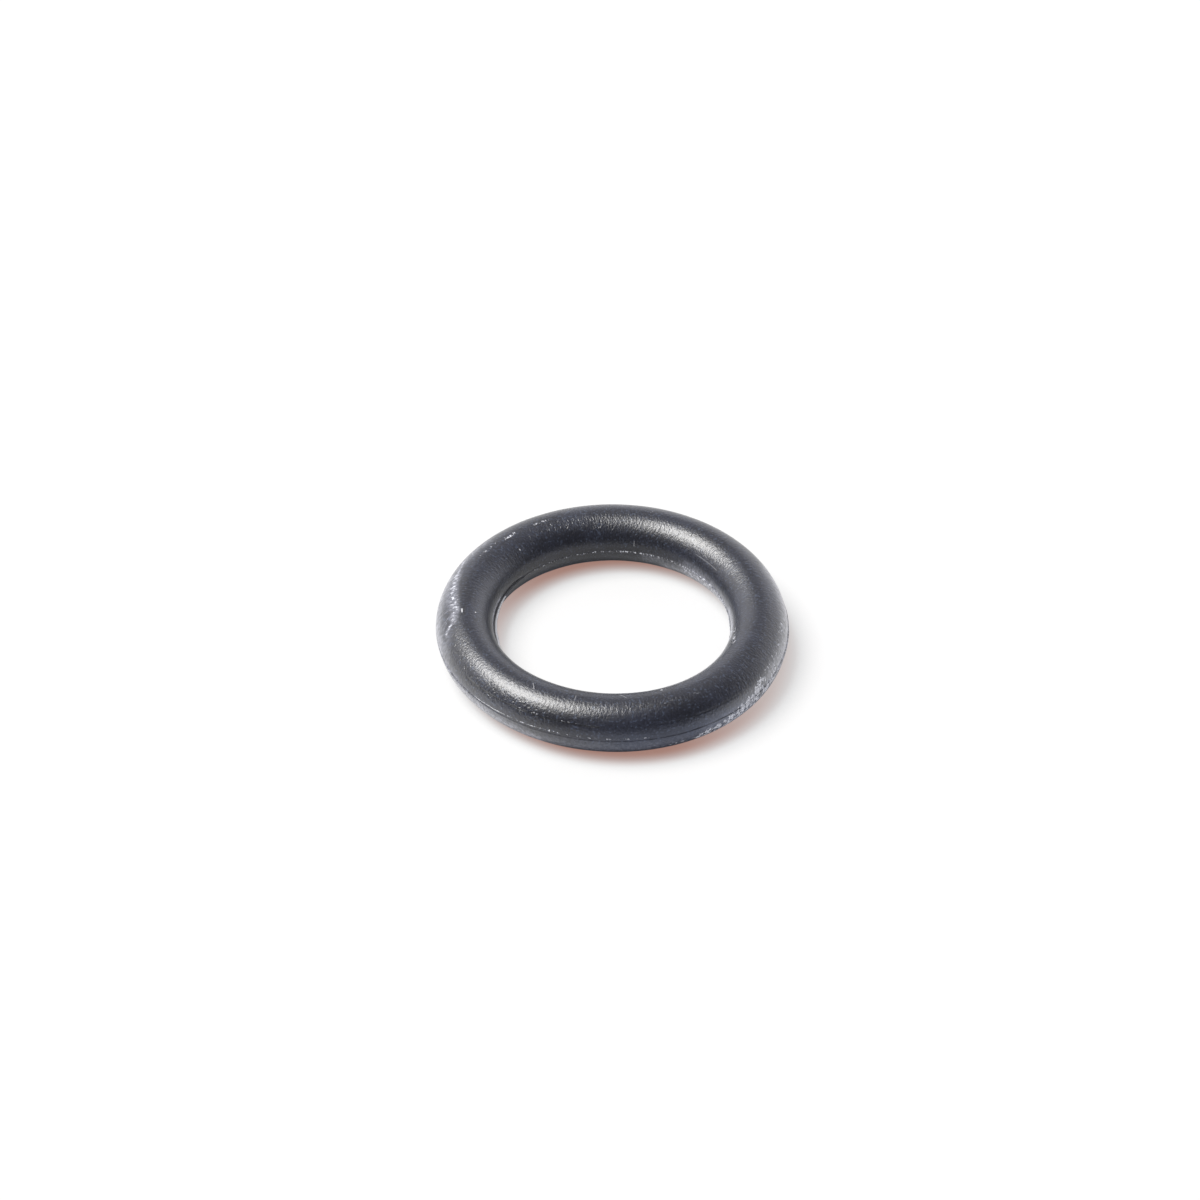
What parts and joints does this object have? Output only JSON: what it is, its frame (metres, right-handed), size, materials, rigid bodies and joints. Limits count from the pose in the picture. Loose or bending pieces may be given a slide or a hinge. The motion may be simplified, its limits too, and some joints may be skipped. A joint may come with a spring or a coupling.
{
  "type": "o-ring",
  "caption": "Rubber o-ring of round section, moulded in one piece, with a fine parting-line ridge round its inside and outside; it seals between a shaft or groove and a bore.",
  "frame": {"origin": "on the ring's axis, at the level of the surface it lies on", "axes": "+Z along the ring's axis, upwards; +X towards the side where the lower mould half stands out"},
  "size_m": [0.0162, 0.0162, 0.0026],
  "materials": {
    "rubber": "satin black moulded rubber"
  },
  "bodies": {
    "root": {"o_ring": "rubber"}
  },
  "joints": []
}
